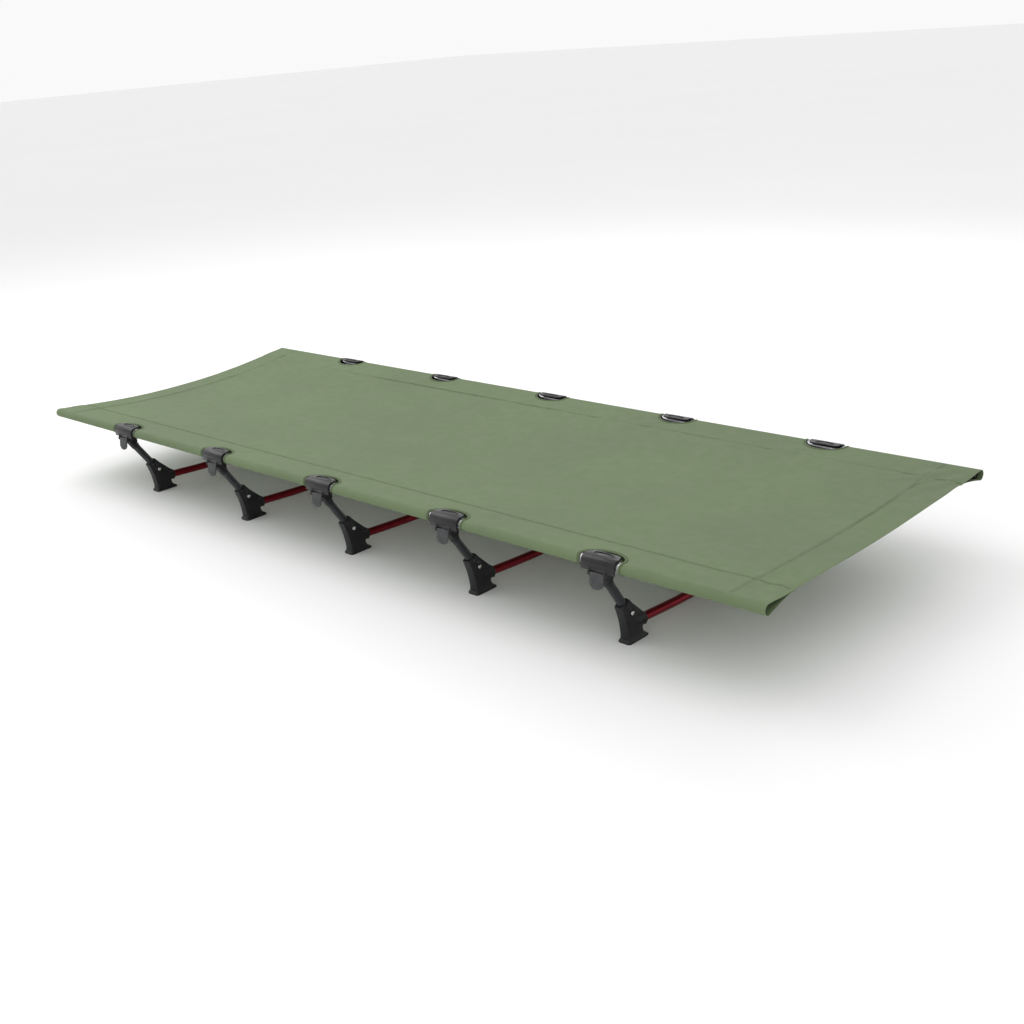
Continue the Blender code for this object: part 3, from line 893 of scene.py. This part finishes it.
def stitch_lines():
    """Sleeve seams in double rows above and below, end hems, and one row on each binding."""
    sizes = bpy.context.scene.cot_bed
    lines = []
    lift = sizes.cloth / 2 + sizes.thread * 0.5
    long_steps = 380
    for side in (-1, 1):
        for offset in (-0.0015, 0.0025):
            y = side * (RAIL_Y + sizes.sleeve + offset)
            top, under = [], []
            for i in range(long_steps + 1):
                x = (BED_HALF_LENGTH - 0.004) * (2 * i / long_steps - 1)
                top.append((end_pull(x, y), y, bed_top(x, y) + lift))
                under.append((end_pull(x, y), y, flap_height(x, y) - lift))
            lines += [(top, False), (under, False)]
    for end in (-1, 1):
        for offset in (0.0, 0.004):
            x = end * (BED_HALF_LENGTH - sizes.hem + offset)
            steps = 120
            row = []
            for i in range(steps + 1):
                y = (RAIL_Y + 0.003) * (1 - 2 * i / steps)
                row.append((end_pull(x, y), y, bed_top(x, y) + lift))
            lines.append((row, False))
    for x in LEG_X:
        for _, far in SIDES:
            loop = cutout_loop(x, far, sizes.binding * 0.55)
            lines.append(([point + normal * (sizes.cloth + 0.0007) for point, normal in loop], True))
    return lines


class COT_OT_bed(bpy.types.Operator):
    """Build the sewn bed with its sleeves, bindings and stitching"""

    bl_idname = "cot.bed"
    bl_label = "Bed"

    def execute(self, context):
        sizes = context.scene.cot_bed
        cloth = finished("bed_sheet", bed_mesh(), "bed_cloth", "bed", ["fabric"], 40.0)
        loops = [cutout_loop(x, far, sizes.binding * 0.40) for x in LEG_X for _, far in SIDES]
        tape = finished("cutout_bindings", tape_mesh(loops, sizes.binding, 0.0024), "binding_tape", "bed",
            [], 60.0)
        stitches = finished("bed_stitching", stitch_mesh(stitch_lines()), "sewing_thread", "bed",
            [])
        width, length = cloth_width(), 2 * BED_HALF_LENGTH
        return {"FINISHED"}


class COT_OT_rails(bpy.types.Operator):
    """Build the two side rails with their end plugs"""

    bl_idname = "cot.rails"
    bl_label = "Side rails"

    def execute(self, context):
        sizes = context.scene.cot_frame
        for side, sign in (("near", 1), ("far", -1)):
            y = sign * RAIL_Y
            half = RAIL_HALF_LENGTH
            line = [(half * (i / 12 * 2 - 1), y, RAIL_Z) for i in range(13)]
            tube = swept_tube(line, sizes.rail_radius, sizes.tube_sides, sizes.rail_radius - 0.0012)
            finished(f"{side}_side_rail", tube, "rail_metal", "bed", [f"{side}_rail"])
            plugs = []
            for end in (-1, 1):
                inner = end * (half - 0.016)
                outer = end * (half + 0.0018)
                body = rod((inner, y, RAIL_Z), (end * half, y, RAIL_Z), sizes.rail_radius - 0.0014)
                head = rod((end * (half + 0.0001), y, RAIL_Z), (outer, y, RAIL_Z),
                    sizes.rail_radius - 0.0001)
                plugs.append(combined(body, [head], "UNION"))
            both = combined(plugs[0], [plugs[1]], "UNION")
            finished(f"{side}_rail_plugs", edge_rounded(both, 0.0005), "black_moulding", "bed",
                [])
        return {"FINISHED"}


# The legs

def pole_height(y):
    share = y / HUB_INNER_Y
    return POLE_HEIGHT_AT_HUB - POLE_DIP * (1 - share * share)


class COT_OT_poles(bpy.types.Operator):
    """Build the bowed cross poles"""

    bl_idname = "cot.poles"
    bl_label = "Cross poles"

    def execute(self, context):
        sizes = context.scene.cot_frame
        steps = 36
        for number, x in enumerate(LEG_X, 1):
            line = []
            for i in range(steps + 1):
                y = POLE_END_Y * (1 - 2 * i / steps)
                line.append((x, y, pole_height(y)))
            mesh = swept_tube(line, sizes.pole_radius, sizes.tube_sides)
            finished(f"pole_{number}", mesh, "pole_anodising", f"leg_{number}",
                [f"cross_pole_{number}"], 50.0)
        return {"FINISHED"}


def saddle_mesh(sizes):
    """The block on an arm's top: it seats the rail and holds the clip's pin in its open slot."""
    y, z = RAIL_Y, RAIL_Z
    outline = [(y + 0.0095, z - 0.0055), (y - 0.0076, z - 0.0055), (y - 0.0076, z - 0.0115),
        (y - 0.0062, z - 0.0135)]
    outline += smooth_line([(y - 0.0055, z - 0.022), (y - 0.0030, z - 0.0275), (y + 0.002, z - 0.030),
        (y + 0.0085, z - 0.0290), (y + 0.013, z - 0.024)], 4)
    outline += [(y + 0.0115, z - 0.012)]
    block = side_solid(outline, 0.012, rounding=0.0008)
    collar_base = CLIP_PIN - ARM_DIRECTION * 0.0265
    collar = rod(collar_base, CLIP_PIN - ARM_DIRECTION * 0.007, sizes.arm_radius + 0.0012)
    block = combined(block, [collar], "UNION")
    seat = rod((-0.03, y, z), (0.03, y, z), sizes.rail_radius + 0.0003)
    half = 0.0025 + 0.0008
    slot = side_solid(
        [(CLIP_PIN.y - half, z), (CLIP_PIN.y + half, z)]
            + arc((CLIP_PIN.y, CLIP_PIN.z), half, 180, 360, 14), 0.03
    )
    return edge_rounded(combined(block, [seat, slot], "DIFFERENCE"), 0.0004)


class COT_OT_arms(bpy.types.Operator):
    """Build the arms: a tube with a rail saddle on its top"""

    bl_idname = "cot.arms"
    bl_label = "Arms"

    def execute(self, context):
        sizes = context.scene.cot_frame
        low = RIVET - ARM_DIRECTION * 0.006
        high = CLIP_PIN - ARM_DIRECTION * 0.0262
        span = high - low
        line = [tuple(low + span * i / 8) for i in range(9)]
        tube = swept_tube(line, sizes.arm_radius, sizes.tube_sides)
        leg_copies(tube, "arm_tube", "arm_anodising", leg_body, "arm")
        leg_copies(saddle_mesh(sizes), "arm_saddle", "black_moulding", leg_body, "arm")
        return {"FINISHED"}


def foot_mesh():
    """The flared foot, lofted up through its waist."""
    outer, inner = RIVET.y - 0.0136, RIVET.y + 0.0369
    levels = (
        (0.0, 0.0122, outer + 0.0003, inner - 0.0003), (0.0006, 0.0125, outer, inner),
            (0.0026, 0.0125, outer, inner),
        (0.0040, 0.0119, outer + 0.0012, inner - 0.0018), (0.0062, 0.0108, outer + 0.0032, inner - 0.0056),
        (0.0095, 0.0099, outer + 0.0045, inner - 0.0086), (0.0140, 0.0093, outer + 0.0046, inner - 0.0102),
        (0.0200, 0.0090, outer + 0.0036, inner - 0.0108),
    )
    sides = 48
    shape = bmesh.new()
    rings = []
    for z, half_x, low, high in levels:
        ring = []
        for k in range(sides):
            angle = math.tau * k / sides
            c, s = math.cos(angle), math.sin(angle)
            x = math.copysign(abs(c) ** 0.35, c) * half_x
            y = (low + high) / 2 + math.copysign(abs(s) ** 0.22, s) * (high - low) / 2
            ring.append(shape.verts.new((x, y, z)))
        rings.append(ring)
    for a, b in zip(rings, rings[1:]):
        for k in range(sides):
            n = (k + 1) % sides
            shape.faces.new((a[k], a[n], b[n], b[k]))
    shape.faces.new(rings[0][::-1])
    shape.faces.new(rings[-1])
    bmesh.ops.recalc_face_normals(shape, faces=shape.faces)
    mesh = bpy.data.meshes.new("foot")
    shape.to_mesh(mesh)
    shape.free()
    return mesh


def hub_mesh(sizes):
    """The joint block: a web between the arm's collar and the pole's socket, on a flared foot."""
    y = RIVET.y
    outline = smooth_line([(y - 0.0100, 0.008), (y - 0.0095, 0.014), (y - 0.0112, 0.028),
        (y - 0.0146, 0.044), (y - 0.0212, 0.0640)], 5)
    outline += smooth_line([(y - 0.0045, 0.0745), (y + 0.0040, 0.0650), (y + 0.0145, 0.0550),
        (y + 0.0260, 0.0440), (y + 0.0345, 0.0378)], 5)
    outline += smooth_line([(y + 0.0345, 0.0170), (y + 0.0280, 0.0195), (y + 0.0255, 0.0165),
        (y + 0.0262, 0.008)], 4)
    web = side_solid(outline, 0.0088, rounding=0.0012)
    collar_radius = sizes.arm_radius + sizes.socket_wall
    collar_top = RIVET + ARM_DIRECTION * 0.022
    socket_radius = sizes.pole_radius + sizes.socket_wall
    slope = 2 * POLE_DIP / abs(HUB_INNER_Y)
    mouth = Vector((0, HUB_INNER_Y, POLE_HEIGHT_AT_HUB))
    back = Vector((0, HUB_INNER_Y - 0.026, POLE_HEIGHT_AT_HUB + slope * 0.026))
    inward = (mouth - back).normalized()
    adds = [
        rod(RIVET - ARM_DIRECTION * 0.004, collar_top, collar_radius),
        rod(collar_top - ARM_DIRECTION * 0.0045, collar_top - ARM_DIRECTION * 0.0010,
        collar_radius + 0.0006),
        rod(back, mouth, socket_radius),
        rod(mouth - inward * 0.0045, mouth - inward * 0.0010, socket_radius + 0.0006),
        foot_mesh(),
        rod(RIVET - Vector((0.0103, 0, 0)), RIVET + Vector((0.0103, 0, 0)), 0.0058),
    ]
    body = combined(web, adds, "UNION")
    cuts = [
        rod(RIVET - ARM_DIRECTION * 0.0063, collar_top + ARM_DIRECTION * 0.02, sizes.arm_radius + 0.0003),
        rod((0, HUB_INNER_Y - SOCKET_DEPTH - 0.0003, POLE_HEIGHT_AT_HUB + slope * SOCKET_DEPTH),
            (0, HUB_INNER_Y + 0.02, POLE_HEIGHT_AT_HUB - slope * 0.02), sizes.pole_radius + 0.0005),
    ]
    return edge_rounded(combined(body, cuts, "DIFFERENCE"), sizes.edge)


class COT_OT_hubs(bpy.types.Operator):
    """Build the hubs with their feet"""

    bl_idname = "cot.hubs"
    bl_label = "Hubs and feet"

    def execute(self, context):
        leg_copies(hub_mesh(context.scene.cot_frame), "hub_block", "black_moulding", leg_body,
            "hub")
        return {"FINISHED"}


class COT_OT_rivets(bpy.types.Operator):
    """Build the domed rivets"""

    bl_idname = "cot.rivets"
    bl_label = "Rivets"

    def execute(self, context):
        face = 0.0106
        domes = []
        for side in (-1, 1):
            shape = bmesh.new()
            place = Matrix.Translation(RIVET + Vector((side * (face - 0.0001), 0, 0))) @ Matrix.Diagonal(
                (0.0014, 0.0036, 0.0036, 1)) @ Matrix.Rotation(math.pi / 2, 4, "Y")
            bmesh.ops.create_uvsphere(shape, u_segments=28, v_segments=16, radius=1.0, matrix=place)
            mesh = bpy.data.meshes.new("dome")
            shape.to_mesh(mesh)
            shape.free()
            domes.append(mesh)
        shank = rod(RIVET - Vector((face, 0, 0)), RIVET + Vector((face, 0, 0)), 0.0022)
        leg_copies(combined(shank, domes, "UNION"), "rivet_pin", "rivet_steel", leg_body, "rivet")
        return {"FINISHED"}


# Clips and levers

def plate_outline(half_x, depth, squareness, steps=36):
    points = []
    for i in range(steps + 1):
        angle = math.pi * i / steps
        c, s = math.cos(angle), math.sin(angle)
        points.append((math.copysign(abs(c) ** squareness, c) * half_x,
            RAIL_Y - 0.0005 + abs(s) ** squareness * depth))
    return points


def clip_mesh(sizes):
    """A hook over the rail with a plate inboard, a dished oval on the plate, and two ears with
    their pins."""
    inner = sizes.rail_radius + 0.0003
    outer = inner + 0.0034
    rail = (RAIL_Y, RAIL_Z)
    skirt = RAIL_Z - 0.010
    shell = side_solid(
        [(RAIL_Y + 0.004, RAIL_Z + outer)] + arc(rail, outer, 90, 0, 18)
        + [(RAIL_Y - outer, skirt), (RAIL_Y - inner - 0.0008, skirt)] + arc(rail, inner, 0, 90, 18)
        + [(RAIL_Y + 0.004, RAIL_Z + inner + 0.0002)],
        0.032, rounding=0.0007,
    )
    under = RAIL_Z + inner + 0.0002
    level = Matrix.Translation((0, 0, under + 0.0015))
    plate = flat_solid(plate_outline(0.0302, 0.0155, 0.42), 0.0015, level, 0.0008)
    rim_place = Matrix.Translation((0, RAIL_Y + 0.0068, under + 0.0030)) @ Matrix.Diagonal(
        (0.0205, 0.0066, 1, 1))
    dish_place = Matrix.Translation((0, RAIL_Y + 0.0068, under + 0.0040)) @ Matrix.Diagonal(
        (0.0188, 0.0052, 1, 1))
    ovals = []
    for place, depth in ((rim_place, 0.0010), (dish_place, 0.0034)):
        shape = bmesh.new()
        bmesh.ops.create_cone(shape, cap_ends=True, segments=48, radius1=1, radius2=1, depth=depth,
            matrix=place)
        mesh = bpy.data.meshes.new("oval")
        shape.to_mesh(mesh)
        shape.free()
        ovals.append(mesh)
    ears = []
    ear_place = 0.0135 + 0.00175
    for side in (-1, 1):
        edge = (
            [(RAIL_Y - outer + 0.0003, skirt + 0.006), (RAIL_Y - inner - 0.0011, skirt + 0.006),
            (RAIL_Y - inner - 0.0011, skirt + 0.0005)]
            + arc((CLIP_PIN.y, CLIP_PIN.z), 0.0048, 75, 270, 14)
            + arc((LEVER_PIN.y, LEVER_PIN.z), 0.0036, 300, 360, 6)
        )
        ears.append(side_solid(edge[::-1], 0.00175, side * ear_place, 0.0004))
    pins = [
        rod((-ear_place - 0.0020, pin.y, pin.z), (ear_place + 0.0020, pin.y, pin.z), radius, 24)
        for pin, radius in ((CLIP_PIN, 0.0025), (LEVER_PIN, 0.0014))
    ]
    body = combined(shell, [plate, ovals[0]] + ears + pins, "UNION")
    return edge_rounded(combined(body, [ovals[1]], "DIFFERENCE"), 0.0003)


class COT_OT_clips(bpy.types.Operator):
    """Build the rail clips"""

    bl_idname = "cot.clips"
    bl_label = "Rail clips"

    def execute(self, context):
        leg_copies(clip_mesh(context.scene.cot_frame), "rail_clip", "clip_moulding", clip_body,
            "clip")
        return {"FINISHED"}


def lever_mesh():
    """A tongue with a round lower end and grip ribs, hung on a barrel."""
    half = 0.013
    length, flare = 0.0225, 0.004
    straight = length - half * 0.8
    points = [(-half, 0), (half, 0)]
    for i in range(33):
        angle = -math.pi * i / 32
        points.append((half * math.cos(angle), -straight + half * 0.8 * math.sin(angle)))
    lean = math.atan2(flare, length)
    place = Matrix.Translation((0, LEVER_PIN.y - 0.00084, LEVER_PIN.z - 0.0005)) @ Matrix.Rotation(math.pi
        / 2 - lean, 4, "X")
    tongue = flat_solid(points[::-1], 0.0015, place, 0.0008)
    barrel = rod((-half, LEVER_PIN.y, LEVER_PIN.z), (half, LEVER_PIN.y, LEVER_PIN.z), 0.0028, 28)
    adds = [barrel]
    for row in range(3):
        drop = 0.0115 + row * 0.0028
        width = 0.0085 - row * 0.0014
        start = place @ Vector((-width, -drop, 0.0014))
        end = place @ Vector((width, -drop, 0.0014))
        adds.append(rod(start, end, 0.0007, 12))
    bore = rod((-0.03, LEVER_PIN.y, LEVER_PIN.z), (0.03, LEVER_PIN.y, LEVER_PIN.z), 0.0017, 24)
    return edge_rounded(combined(combined(tongue, adds, "UNION"), [bore], "DIFFERENCE"), 0.0003)


class COT_OT_levers(bpy.types.Operator):
    """Build the levers under the clips"""

    bl_idname = "cot.levers"
    bl_label = "Levers"

    def execute(self, context):
        leg_copies(lever_mesh(), "lever_tab", "lever_moulding", lever_body, "lever")
        return {"FINISHED"}


# Stage

def soft_light(name, place, aim, size, power):
    data = bpy.data.lights.new(name, "AREA")
    data.shape = "RECTANGLE"
    data.size, data.size_y = size
    data.energy = power
    light = linked(name, data)
    light.location = place
    light.rotation_euler = (Vector(aim) - Vector(place)).to_track_quat("-Z", "Y").to_euler()
    return light


class COT_OT_stage(bpy.types.Operator):
    """Build the floor, the soft lights and the camera"""

    bl_idname = "cot.stage"
    bl_label = "Stage"

    def execute(self, context):
        scene = context.scene
        color = scene.cot_finishes.floor_color
        mesh = bpy.data.meshes.new("floor")
        shape = bmesh.new()
        bmesh.ops.create_grid(shape, x_segments=1, y_segments=1, size=30.0)
        shape.to_mesh(mesh)
        shape.free()
        floor = linked("floor", mesh)
        floor.location.z = -0.0002
        finish = Finish("pale_floor", 0.75)
        grain = finish.group("grain", Fineness=90.0, Patches=0.8)
        finish.color(mix_colors(finish.tree, grain["Patch"], shade(color, 0.995), shade(color, 1.005)))
        mesh.materials.append(finish.material)
        world = bpy.data.worlds.new("soft_room")
        world.use_nodes = True
        backdrop = world.node_tree.nodes["Background"]
        backdrop.inputs["Color"].default_value = (1.0, 1.0, 1.0, 1.0)
        backdrop.inputs["Strength"].default_value = 0.95
        scene.world = world
        soft_light("key", (-2.2, -0.6, 2.6), (0.0, 0.0, 0.1), (2.4, 2.4), 36.0)
        soft_light("front_fill", (1.6, -2.8, 1.6), (0.0, 0.0, 0.1), (2.0, 1.5), 8.0)
        soft_light("back_rim", (-0.4, 2.6, 2.0), (0.0, 0.0, 0.1), (2.6, 1.2), 14.0)
        yaw, pitch, roll = math.radians(44.83), math.radians(20.39), math.radians(-4.51)
        forward = Vector((-math.sin(yaw) * math.cos(pitch), math.cos(yaw) * math.cos(pitch),
            -math.sin(pitch)))
        right = Vector((math.cos(yaw), math.sin(yaw), 0.0))
        up = right.cross(forward)
        turned_right = right * math.cos(roll) + up * math.sin(roll)
        turned_up = up * math.cos(roll) - right * math.sin(roll)
        data = bpy.data.cameras.new("camera")
        data.sensor_width = 36.0
        data.lens = 46.25
        camera = linked("camera", data)
        axes = Matrix((turned_right, turned_up, -forward)).transposed()
        camera.matrix_world = Matrix.Translation((1.839, -1.684, 0.911)) @ axes.to_4x4()
        scene.camera = camera
        scene.view_settings.view_transform = "Standard"
        return {"FINISHED"}


class COT_PT_panel(bpy.types.Panel):
    """The cot's sizes, finishes and build buttons"""

    bl_idname = "COT_PT_panel"
    bl_label = "Folding cot"
    bl_space_type = "VIEW_3D"
    bl_region_type = "UI"
    bl_category = "Cot"

    def draw(self, context):
        for group in (context.scene.cot_bed, context.scene.cot_frame, context.scene.cot_finishes):
            box = self.layout.box()
            for name in group.__annotations__:
                box.prop(group, name)
        for operator in OPERATORS:
            self.layout.operator(operator.bl_idname)


OPERATORS = (
    COT_OT_stage, COT_OT_rails, COT_OT_bed, COT_OT_poles, COT_OT_arms,
    COT_OT_hubs, COT_OT_rivets, COT_OT_clips, COT_OT_levers,
)
CLASSES = (CotBedSizes, CotFrameSizes, CotFinishes) + OPERATORS + (COT_PT_panel,)


def register():
    for cls in CLASSES:
        bpy.utils.register_class(cls)
    bpy.types.Scene.cot_bed = PointerProperty(type=CotBedSizes)
    bpy.types.Scene.cot_frame = PointerProperty(type=CotFrameSizes)
    bpy.types.Scene.cot_finishes = PointerProperty(type=CotFinishes)


def unregister():
    del bpy.types.Scene.cot_finishes
    del bpy.types.Scene.cot_frame
    del bpy.types.Scene.cot_bed
    for cls in reversed(CLASSES):
        bpy.utils.unregister_class(cls)


def main():
    register()
    for operator in OPERATORS:
        getattr(bpy.ops.cot, operator.bl_idname.split(".")[1])()


if __name__ == "__main__":
    main()
